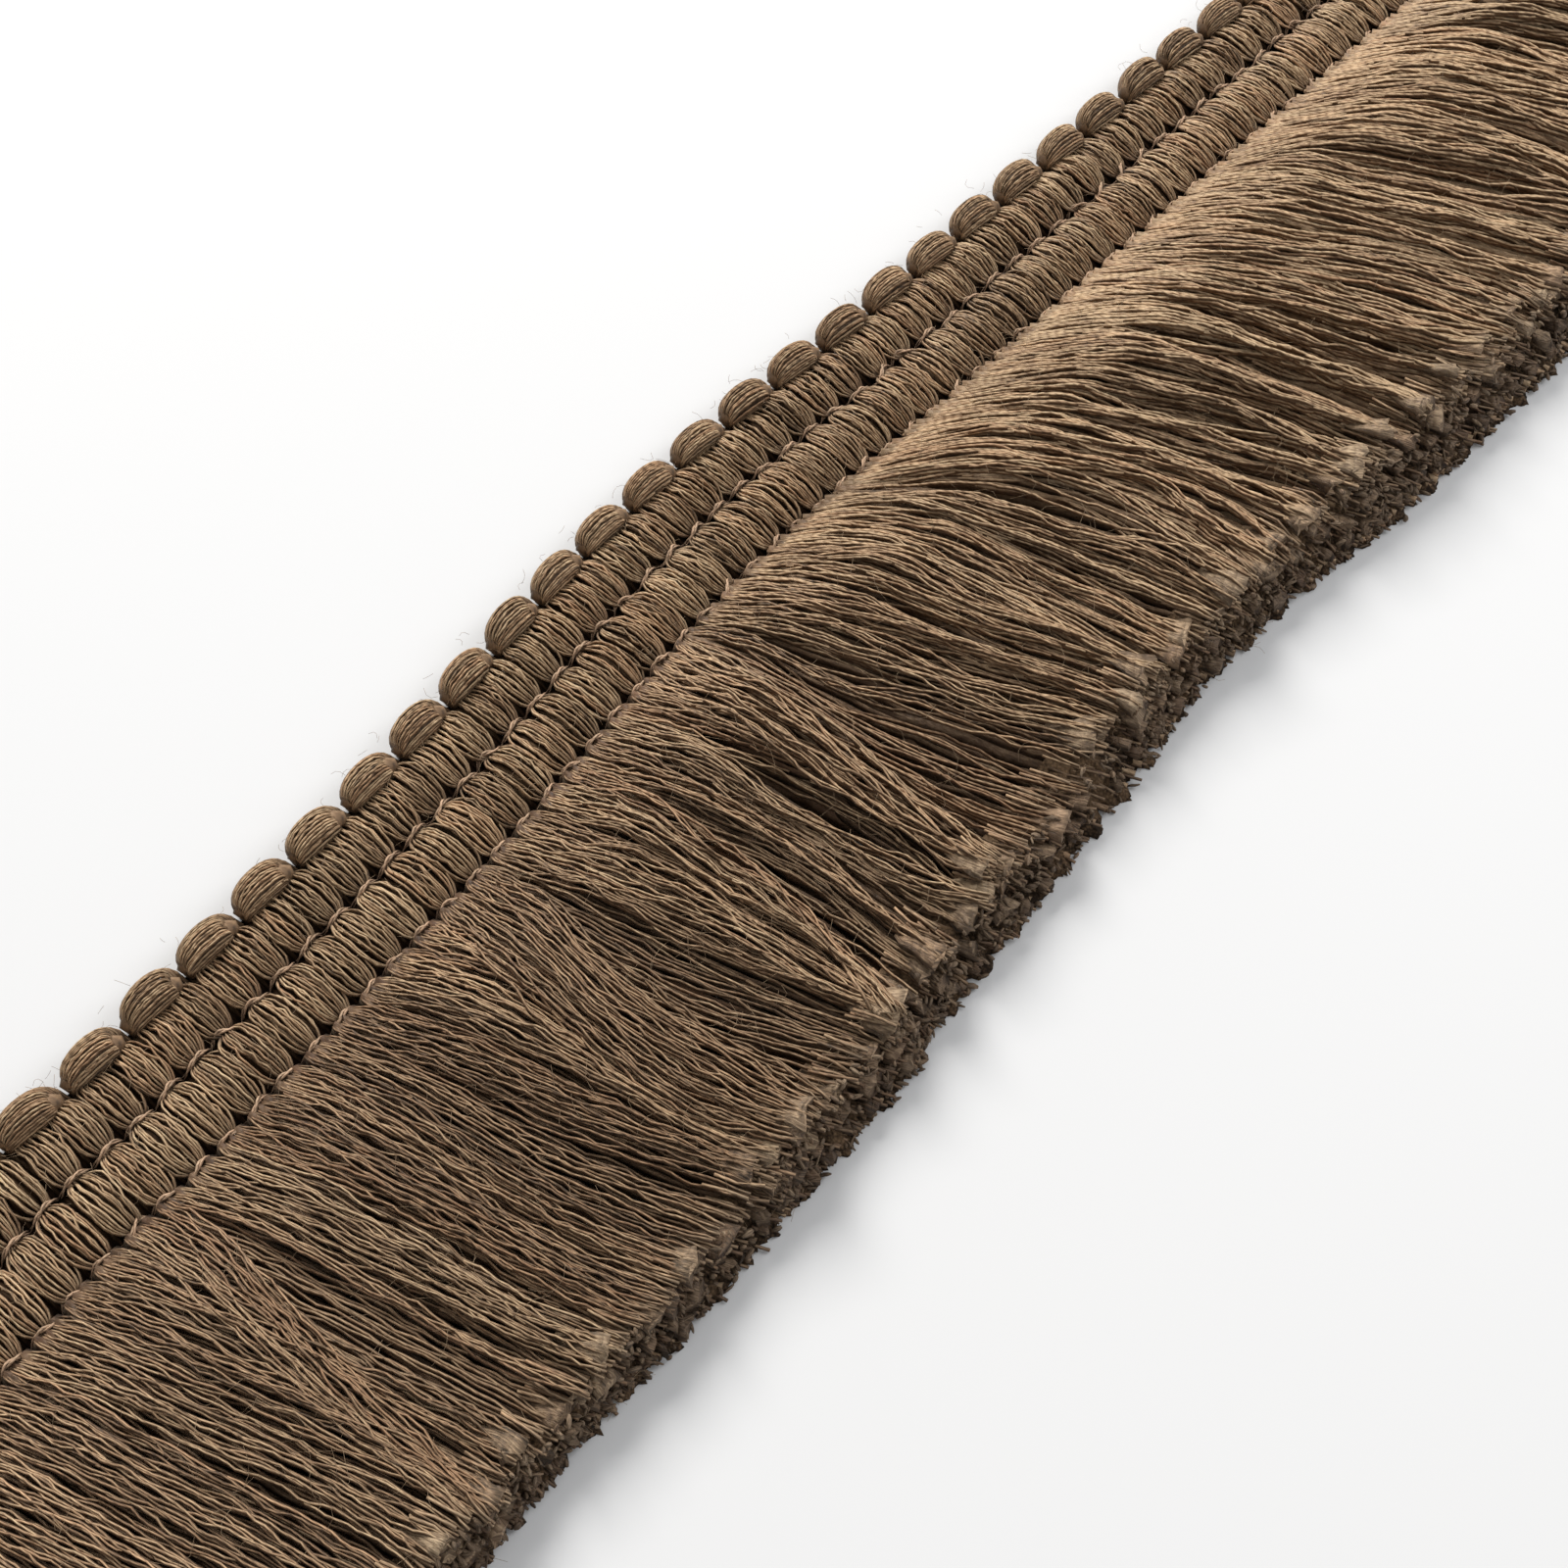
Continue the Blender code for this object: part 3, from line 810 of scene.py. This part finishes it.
# Paths of fringe yarns. Level 0 is on the underside and 1 on top. Along: the root, plus the combed
# shift, plus the lock's sway, drawn towards the middles of a lock and of a small clump. Across: from the
# root line to the slanted cut. Height: up from the stitches over rollLength, then level. Locks, partings
# and crossings grow from the lower levels to the top.
def fringePaths(chance, roots, levels, shares, locks, clumps):
    yarns = len(roots)
    roots = roots[:, None]
    levels = levels[:, None]
    loose = ease(levels, 0.15, 0.95)
    own, fromMiddle, dome, _ = lockOf(locks, roots)
    small, fromClump, clumpDome, clump = lockOf(clumps, roots)
    upperCut = profiled("upperCut", roots)
    lowerCut = np.interp(roots, lowerEdge["along"], lowerEdge["across"])
    cut = lowerCut + levels * (upperCut - lowerCut)
    cut = cut + (own["longer"] + 0.3 * small["longer"]) * loose + chance.normal(0, 0.22, (yarns, 1))
    across = fringe["rootAcross"] + (cut - fringe["rootAcross"]) * shares
    distance = across - fringe["rootAcross"]

    block = np.floor(roots / blockPitch)
    fromBlock = roots - (block + 0.5) * blockPitch
    pinch = fromBlock * (fringe["pinchShare"] - 1) * np.exp(-distance / fringe["pinchLength"])

    # The first part of the trim is combed flat and even
    lively = 0.30 + 0.70 * ease(roots, *fringe["lively"])
    own["bunch"], own["sway"], own["lift"] = (lively * own[key] for key in ("bunch", "sway", "lift"))
    growth = ease(shares, own["start"], own["start"] + 0.55)
    rising = ease(shares, 0.3 * own["start"], 0.3 * own["start"] + 0.4)
    clumpGrowth = ease(shares, 0.02, 0.35) * loose
    shift = combedShift(roots[:, 0], shares)
    lift = (own["lift"] + (1.15 * dome - 0.75) * (0.4 * lively + 1.5 * own["bunch"])) * rising

    for place, opening, start, end in partings:
        away = roots - place
        window = ease(shares, start - 0.05, start + 0.2) * (1 - ease(shares, end - 0.2, end + 0.05)) * loose
        shift = shift + np.sign(away) * opening * np.exp(-np.abs(away) / 2.2) * window
        lift = lift - 1.1 * np.exp(-((away / 1.1) ** 2)) * window

    paintedLight = 0 * roots
    shift = shift + (own["sway"] - own["bunch"] * fromMiddle) * growth * loose
    for first, last, shifts, drawn, raised in crossing:
        inside = (roots > first) & (roots < last) & (levels > 0.93)
        fromCentre = roots - (first + last) / 2
        path = shiftCurve(shifts, shares) - fromCentre * shiftCurve(drawn, shares)
        shift = np.where(inside, path, shift)
        crown = 1 - (2 * fromCentre / (last - first)) ** 2
        lift = np.where(inside, raised * (0.4 + 0.8 * crown) * ease(shares, 0.02, 0.3), lift)
        paintedLight = np.where(inside, 0.04, paintedLight)

    shift = shift - (0.4 + 0.6 * lively) * small["bunch"] * fromClump * clumpGrowth
    lift = lift + 0.22 * (clumpDome - 0.6) * clumpGrowth
    amount, wavelength, ramp = fringe["clumpWander"]
    together = waves(chance, clump.max() + 1, np.mean(distance, axis=0)[None, :], wavelength)[clump]
    wander = amount * lively * together * clumpGrowth * ease(distance, 0, ramp)
    along = roots + pinch + shift + wander + growingWaves(chance, yarns, distance, fringe["wander"])

    full = profiled("thickness", roots) - fringe["yarnRadius"]
    rise = 1 - (1 - np.clip(distance / fringe["rollLength"], 0, 1)) ** 1.55
    upper = fringe["rootHeight"] + 0.5 + (full - fringe["rootHeight"] - 0.5) * rise
    upper = upper * (1 - 0.06 * shares ** 2)
    lower = fringe["yarnRadius"] + 0.5 * (1 - rise)
    height = lower + levels * (upper - lower) + lift * levels
    height = height + levels * growingWaves(chance, yarns, distance, fringe["bob"])
    height = np.maximum(height, fringe["yarnRadius"] + 0.03)
    # Painted light: the raised crossing bundles and the far part of the fringe are made paler
    paintedLight = paintedLight + 0.02 + 0.33 * ease(roots, *fringe["paler"])
    tone = 0.5 + own["tone"] + 0.5 * small["tone"] + paintedLight + chance.normal(0, 0.17, (yarns, 1))
    hue = 0.25 + own["hue"] + chance.normal(0, 0.25, (yarns, 1))
    return along, across, height, np.clip(tone, 0, 1), np.clip(hue, 0, 1)


# One layer of the fringe, or the part of it whose roots are within "reach" (shares of the trim's length)
def addFringeLayer(name, layer, seed, reach=(0.0, 1.0)):
    level, perBlock, rings, sides, thick, deep, widths, back = layer
    chance = np.random.default_rng(seed)
    locks = makeLocks(chance, *widths)
    clumps = makeClumps(chance)
    first, last = (round(share * blockCount * perBlock) for share in reach)
    roots = (np.arange(first, last) + 0.5) * blockPitch / perBlock
    count = len(roots)
    shares = (1 - back) * np.linspace(0, 1, rings)[None, :] ** 1.1
    levels = np.full(count, level) - np.abs(chance.normal(0, 0.03, count)) * level
    along, across, height, tone, hue = fringePaths(chance, roots, levels, shares, locks, clumps)
    tip = 0.6 * ease(shares, 0.945, 1.0) * (0.3 + 0.7 * chance.random((count, 1))) * (1 - deep)
    # Painted shade: darker by the roots, where the yarns come out from under the heading
    rootShade = (1 - deep) * 0.7 * np.exp(-(across - fringe["rootAcross"]) / 0.4)
    radius = thick * (1 + 0.22 * ease(roots, *fringe["thicker"]))[:, None]
    return addTubes(
        name, toMetres(along, across, np.maximum(height, radius + 0.03)), radius[..., None] / 1000, sides,
        chance.uniform(0, 5, count), tone=tone, hue=hue, tip=tip,
        # Painted shade: lower layers darker by their value, less so far along the trim
        deep=deep * (1 - 0.7 * ease(roots, *fringe["lessShade"]))[:, None] + rootShade,
    )


# Level, yarns to a block, rings, sides, radius, painted shade, widths of the locks, and how far before the
# cut the yarns end (a share of their length)
layers = {
    "fringeTop": (1.0, 12, 47, 3, 0.160, 0.0, (2.6, 6.5), -0.01),
    "fringeSecond": (0.74, 10, 26, 3, 0.185, 0.32, (2.4, 5.5), 0.01),
    "fringeThird": (0.54, 5, 18, 3, 0.40, 0.65, (2.5, 5.0), 0.05),
    "fringeFourth": (0.30, 3, 12, 4, 0.72, 0.85, (3.0, 6.0), 0.06),
    "fringeUnder": (0.02, 5, 9, 4, 0.34, 0.4, (3.0, 6.0), 0.02),
}
for order, (layerName, layer) in enumerate(layers.items()):
    if layerName == "fringeTop":
        halves = (("fringeTopNear", 0, (0.0, 0.5)), ("fringeTopFar", 10, (0.5, 1.0)))
        for halfName, seedStep, reach in halves:
            half = addFringeLayer(halfName, layer, fringe["seed"] + seedStep, reach)
            dress(half, fringeYarn, "fringe_yarn", "fringe")
    else:
        material = fringeYarn if layerName == "fringeSecond" else deepYarn
        dress(addFringeLayer(layerName, layer, fringe["seed"] + order), material, "fringe_yarn")
print("fringe layers made")


# Cut face: a closed mass of packed cut ends, granular in front, with yarn ends from every depth on it

cutFace = {
    "seed": 61,
    "columns": 1150,
    "frontRows": 15,
    "grain": 0.13,             # how far the granular surface goes in and out
    "tuft": 0.38,              # and the tufts
    "rows": 5,
    "perBlock": 5,
    "rings": 3,
    "radius": 0.15,
    "startShare": 0.90,
    "locks": (2.4, 5.2),
    "clumpBunch": (0.0, 0.5),
    "massShare": 0.60,         # height of the mass as a share of the fringe's thickness
    "underside": 0.04,
    "splay": (0.22, 0.17),     # of the yarn ends, along the trim and upwards
}


# The closed mass: in every column a loop of points, from the lower edge up the slanted front to the top,
# and back down inside the fringe. The front goes in and out by soft tufts and by grain.
def addCutMass():
    chance = np.random.default_rng(cutFace["seed"])
    columns, frontRows = cutFace["columns"], cutFace["frontRows"]
    start = combing[0][4] - 0.5
    along = np.linspace(start, trimLength + combing[-1][4] - 0.3, columns)
    root = np.interp(along, [row[0] + row[4] for row in combing], [row[0] for row in combing])
    upperCut, thickness = profiled("upperCut", root), profiled("thickness", root)
    rise = np.linspace(0, 1, frontRows)[:, None]
    tuft = waves(chance, 1, along[None, :], 4.2) + 0.6 * waves(chance, 1, along[None, :], 2.0)
    under = cutFace["underside"]
    high = cutFace["massShare"] * thickness + 0.2 * waves(chance, 1, along[None, :], 3.1)
    lower = np.interp(root, lowerEdge["along"], lowerEdge["across"]) - 0.35
    across = lower + (upperCut - 0.5 - lower) * rise + cutFace["tuft"] * tuft * (1 - 0.5 * rise)
    grain = waves(chance, frontRows, along[None, :], 0.75) + chance.normal(0, 0.6, (frontRows, columns))
    across = across + cutFace["grain"] * grain
    roughness = 0.10 * chance.normal(0, 1, (frontRows, columns)) * rise * (1 - rise) * 4
    height = under + (high - under) * rise + roughness
    ways = along[None, :] + 0.06 * chance.normal(0, 1, (frontRows, columns))
    backAcross = np.stack([upperCut - 3.0, lower - 5.0])
    backHeight = np.stack([high[0] - 0.3, np.full(columns, under)])
    ways = np.concatenate([ways, np.broadcast_to(along, (2, columns))])
    points = toMetres(ways, np.concatenate([across, backAcross]), np.concatenate([height, backHeight]))
    # Tone: lighter towards the top of the face, which is painted light, and in random patches. The shade
    # value is painted shade, darkest low on the face
    toneAndLight = 0.52 + 0.16 * rise ** 2 + 0.14 * waves(chance, 1, along[None, :], 9.0)
    shade = np.clip(0.50 - 0.45 * rise + 0.12 * waves(chance, 1, along[None, :], 6.0), 0.05, 0.8)
    values = {"tone": toneAndLight, "deep": shade}
    values = {key: np.concatenate([value, value[[-1, -1]]]) for key, value in values.items()}
    return addLoops("cutMass", points, values, True)


# Yarn ends on the face, at every level from the underside to the top
def addCutFace():
    chance = np.random.default_rng(cutFace["seed"] + 1)
    count = blockCount * cutFace["perBlock"]
    roots = np.tile((np.arange(count) + 0.5) * blockPitch / cutFace["perBlock"], cutFace["rows"])
    roots = roots + chance.normal(0, 0.2, len(roots))
    levels = np.repeat((np.arange(cutFace["rows"]) + 0.5) / cutFace["rows"], count)
    levels = np.clip(levels + chance.normal(0, 0.05, len(levels)), 0.01, 1.0)
    shares = np.linspace(cutFace["startShare"], 1, cutFace["rings"])[None, :]
    locks = makeLocks(chance, *cutFace["locks"])
    clumps = makeLocks(chance, *fringe["clumpWidth"], bunch=cutFace["clumpBunch"])
    along, across, height, tone, hue = fringePaths(chance, roots, levels, shares, locks, clumps)
    yarns = len(roots)
    sideways, upwards = cutFace["splay"]
    splay = (shares - shares[0, 0]) / (1 - shares[0, 0])
    along = along + sideways * chance.normal(0, 1, (yarns, 1)) * splay ** 2
    height = height + upwards * chance.normal(0, 1, (yarns, 1)) * splay ** 2
    height = np.maximum(height, cutFace["radius"] + cutFace["underside"])
    level = levels[:, None]
    tip = (0.15 + 0.75 * ease(level, 0.6, 1.0)) * splay * chance.random((yarns, 1))
    return addTubes(
        "cutFace", toMetres(along, across, height), cutFace["radius"] / 1000, 4,
        chance.uniform(0, 5, yarns), tone=tone, hue=hue, tip=tip,
        # Painted shade: yarn ends lower on the face are darker
        deep=(0.75 - 0.55 * ease(level, 0.4, 1.0)) * (0.7 + 0.5 * chance.random((yarns, 1))) + 0 * splay,
    )


# Tufts: where a lock is cut, its yarns open into one fan of fibres
tufts = {
    "sides": 12,
    "rings": 6,
    "ragged": 0.35,            # how far the fibres' ends differ, and the most that they may
    "raggedMost": (-0.5, 0.4),
    # seed and widths of the locks, level, share of the length where the fan starts, its half thickness,
    # painted shade, and the part of the trim
    "rows": (
        (41, (2.6, 6.5), 0.97, 0.885, 0.60, 0.05, (0.0, 0.5)),
        (51, (2.6, 6.5), 0.97, 0.885, 0.60, 0.05, (0.5, 1.0)),
        (42, (2.4, 5.5), 0.74, 0.900, 0.65, 0.25, (0.0, 1.0)),
        (63, (1.6, 3.6), 0.50, 0.910, 0.65, 0.45, (0.0, 1.0)),
        (64, (1.4, 3.0), 0.25, 0.920, 0.60, 0.60, (0.0, 1.0)),
    ),
}


# A flat tube for each lock, on the path of the lock's middle. It widens towards the cut to the lock's
# width there, and has ridges along it.
def addTufts(name, row):
    seed, widths, level, start, thick, deep, reach = row
    chance = np.random.default_rng(seed)
    locks = makeLocks(chance, *widths)
    clumps = makeClumps(chance)
    low, high = locks["edges"][:-1], locks["edges"][1:]
    middle = (low + high) / 2
    first, last = np.clip(np.array(reach) * trimLength, 0.5, trimLength - 0.5)
    kept = (middle > first) & (middle < last)
    half = ((high - low) / 2 * (1 - 0.9 * locks["bunch"][:-1]) + 0.12)[kept, None]
    roots = middle[kept]
    count = len(roots)
    levels = np.full(count, level)
    shares = np.linspace(start, 1.0, tufts["rings"])[None, :]
    along, across, height, tone, hue = fringePaths(chance, roots, levels, shares, locks, clumps)
    part = (shares - start) / (1 - start)
    wide = half * (0.25 + 0.75 * part ** 0.8)
    thickness = thick * chance.uniform(0.7, 1.25, (count, 1)) * (0.15 + 0.85 * part)
    height = np.maximum(height - 0.45 * thickness - 0.9 * (1 - part) ** 1.5, 1.3 * thickness + 0.09)
    ridges = 1 + 0.17 * chance.normal(0, 1, (count, 1, tufts["sides"]))
    ridges = ridges + 0.05 * chance.normal(0, 1, (count, tufts["rings"], tufts["sides"]))
    ragged = tufts["ragged"] * chance.normal(0, 1, (count, tufts["sides"]))
    return addTubes(
        name, toMetres(along, across, height), wide[..., None] * np.clip(ridges, 0.7, 1.3) / 1000,
        tufts["sides"], chance.uniform(0, 5, count), flat=thickness / wide,
        ragged=np.clip(ragged, *tufts["raggedMost"]) / 1000, tone=np.clip(tone, 0.2, 0.8), hue=hue,
        tip=0.25 * part * chance.random((count, 1)),
        # Painted shade: tufts of the lower levels are darker
        deep=deep + 0.25 * chance.random((count, 1)) + 0 * part,
    )


# Crumbs: small ends of yarn that stand out of the cut, in all directions and more of them low down
crumbs = {
    "seed": 67,
    "count": 2000,
    "radius": (0.10, 0.26),
    "length": (0.4, 1.1),
    "shape": (0.55, 1.0, 0.95, 0.5),  # radius at each ring, as a share of the crumb's own
}


# Each crumb is a short thick tube about a random point of the face, which points outwards on average
def addCrumbs():
    chance = np.random.default_rng(crumbs["seed"])
    count = crumbs["count"]
    roots = chance.uniform(0.5, trimLength - 0.5, count)
    rise = chance.random((count, 1)) ** 1.2
    table = np.array(combing)
    along = (roots + np.interp(roots, table[:, 0], table[:, 4]))[:, None] + chance.normal(0, 0.2, (count, 1))
    lower = np.interp(roots, lowerEdge["along"], lowerEdge["across"])[:, None] - 0.25
    upperCut = profiled("upperCut", roots)[:, None]
    across = lower + (upperCut - lower) * 0.85 * rise + chance.normal(0, 0.18, (count, 1))
    radius = chance.uniform(*crumbs["radius"], (count, 1))
    height = 0.85 * rise * profiled("thickness", roots)[:, None] + radius + 0.05
    bearing = chance.normal(0.5 * np.pi, 0.8, (count, 1))
    climb = chance.normal(0.1, 0.3, (count, 1))
    distance = (np.linspace(0, 1, 4)[None, :] - 0.6) * chance.uniform(*crumbs["length"], (count, 1))
    shape = radius * np.array([crumbs["shape"]])
    height = np.maximum(height + distance * climb, 1.25 * shape + 0.08)
    return addTubes(
        "cutCrumbs",
        toMetres(along + distance * np.cos(bearing), across + distance * np.sin(bearing), height),
        shape[..., None] * chance.uniform(0.75, 1.25, (count, 1, 4)) / 1000, 4, chance.uniform(0, 5, count),
        tone=np.clip(chance.normal(0.47, 0.22, count), 0, 1),
        hue=np.clip(chance.normal(0.1, 0.3, count), 0, 1),
        tip=0.3 * chance.random((count, 1)) ** 3,
        # Painted shade: crumbs lower on the face are darker
        deep=np.clip(0.68 - 0.45 * rise - 0.5 * chance.random((count, 1)) ** 2, 0, 1),
    )


dress(addCutMass(), cutEnds, "fringe_yarn")
dress(addCutFace(), cutYarn, "fringe_yarn")
for order, row in enumerate(tufts["rows"]):
    dress(addTufts(f"tufts{order + 1}", row), tuftYarn, "fringe_yarn")
dress(addCrumbs(), crumbYarn, "fringe_yarn")
print("cut face made")


# Fuzz: fine fibres that stand off the beads, the heading, the fringe and the cut. Each is a short bow.

fuzz = {
    "seed": 71,
    "radius": 0.016,
    "rings": 4,
    # how many, and the ranges of the start (along, across, height) and of the length
    "beadFibres": (220, (0, 236), (-1.9, 0.6), (1.6, 3.2), (0.5, 1.4)),
    "headingFibres": (520, (0, 236), (0.8, 12.6), (1.5, 2.6), (0.8, 2.4)),
    "fringeFibres": (900, (8, 240), (14.0, 44.0), (4.2, 5.3), (1.0, 4.0)),
    "cutFibres": (700, (8, 244), (46.0, 50.0), (0.3, 4.4), (0.6, 1.8)),
    "cutMirror": 95.9,         # twice the middle of the cut fibres' start, across
    "cutReach": 50.5,          # where the slanted face meets the floor
    "cutHeights": (0.1, 4.5),
}


def addFuzz():
    chance = np.random.default_rng(fuzz["seed"])
    share = np.linspace(0, 1, fuzz["rings"])[None, :]
    rows = []
    for kind in ("beadFibres", "headingFibres", "fringeFibres", "cutFibres"):
        count, alongs, acrosses, heights, lengths = fuzz[kind]
        along = chance.uniform(*alongs, (count, 1))
        across = chance.uniform(*acrosses, (count, 1))
        height = chance.uniform(*heights, (count, 1))
        if kind == "cutFibres":  # these start on the slanted face, so height and across go together
            across = fuzz["cutMirror"] - across
            height = np.clip(fuzz["cutReach"] - across, *fuzz["cutHeights"])
        length = chance.uniform(*lengths, (count, 1))
        bearing = chance.uniform(0, 2 * np.pi, (count, 1))
        climb = chance.uniform(-0.1, 0.55, (count, 1))
        bow = chance.normal(0, 0.35, (count, 1)) * length
        side = bow * np.sin(np.pi * share)
        along = along + length * share * np.cos(bearing) - side * np.sin(bearing)
        across = across + length * share * np.sin(bearing) + side * np.cos(bearing)
        height = np.maximum(height + length * climb * share, 0.05)
        rows.append(toMetres(along, across, height))
    centres = np.concatenate(rows)
    count = len(centres)
    tone = chance.uniform(0.6, 1.0, count)
    return addTubes(
        "fuzz", centres, fuzz["radius"] / 1000, 3, np.zeros(count), tone=tone, hue=0.1, tip=0.5, deep=0.0
    )


dress(addFuzz(), cutYarn, "fringe_yarn")
print("fuzz made")


# Stage: floor, light and camera

stage = {
    "floorSize": 3.0,
    "floorColour": (0.795, 0.80, 0.807),
    "worldStrength": 0.38,
    # place in metres, size, energy and colour
    "key": ((0.60, 1.20, 0.92), 0.72, 31.5, (1.0, 0.98, 0.95)),
    "fill": ((0.80, -0.40, 0.60), 0.60, 4.4, (0.97, 0.98, 1.0)),
    "targetAlong": 94.7,
    "targetAcross": 27.2,
    "azimuth": -49.99,
    "elevation": 58.31,
    "distance": 0.208,     # metres
    "lens": 57.03,
}


def addFloor():
    half = stage["floorSize"] / 2
    mesh = bpy.data.meshes.new("floor")
    corners = [(-half, -half, 0), (half, -half, 0), (half, half, 0), (-half, half, 0)]
    mesh.from_pydata(corners, [], [(0, 1, 2, 3)])
    material, _, shader = newMaterial("floorSurface")
    setInputs(shader, {"Base Color": stage["floorColour"], "Roughness": 0.9})
    mesh.materials.append(material)
    addObject("floor", mesh)


# An area light at "place", turned to look at the origin
def addLight(name, place, size, energy, colour):
    light = bpy.data.lights.new(name, "AREA")
    light.size = size
    light.energy = energy
    light.color = colour
    lamp = addObject(name, light)
    lamp.location = place
    lamp.rotation_euler = Vector(place).to_track_quat("Z", "Y").to_euler()


# The camera stands back from the target along the direction of its azimuth and elevation
def addCamera():
    azimuth, elevation = math.radians(stage["azimuth"]), math.radians(stage["elevation"])
    level = math.cos(elevation)
    back = Vector((math.sin(azimuth) * level, -math.cos(azimuth) * level, math.sin(elevation)))
    targetX, targetY = plan(stage["targetAlong"], stage["targetAcross"])
    target = Vector(((targetX + offsetX) / 1000, (targetY + offsetY) / 1000, 0.0))
    data = bpy.data.cameras.new("camera")
    data.lens = stage["lens"]
    data.sensor_width = 36.0
    data.clip_start = 0.005
    camera = addObject("camera", data)
    camera.location = target + back * stage["distance"]
    camera.rotation_euler = back.to_track_quat("Z", "Y").to_euler()
    bpy.context.scene.camera = camera


addFloor()
for lightName in ("key", "fill"):
    addLight(lightName, *stage[lightName])
addCamera()
world = bpy.data.worlds.new("world")
world.use_nodes = True
sky = world.node_tree.nodes["Background"]
setInputs(sky, {"Color": (1.0, 1.0, 1.0), "Strength": stage["worldStrength"]})
bpy.context.scene.world = world
bpy.context.scene.view_settings.view_transform = "Standard"
print("stage set")
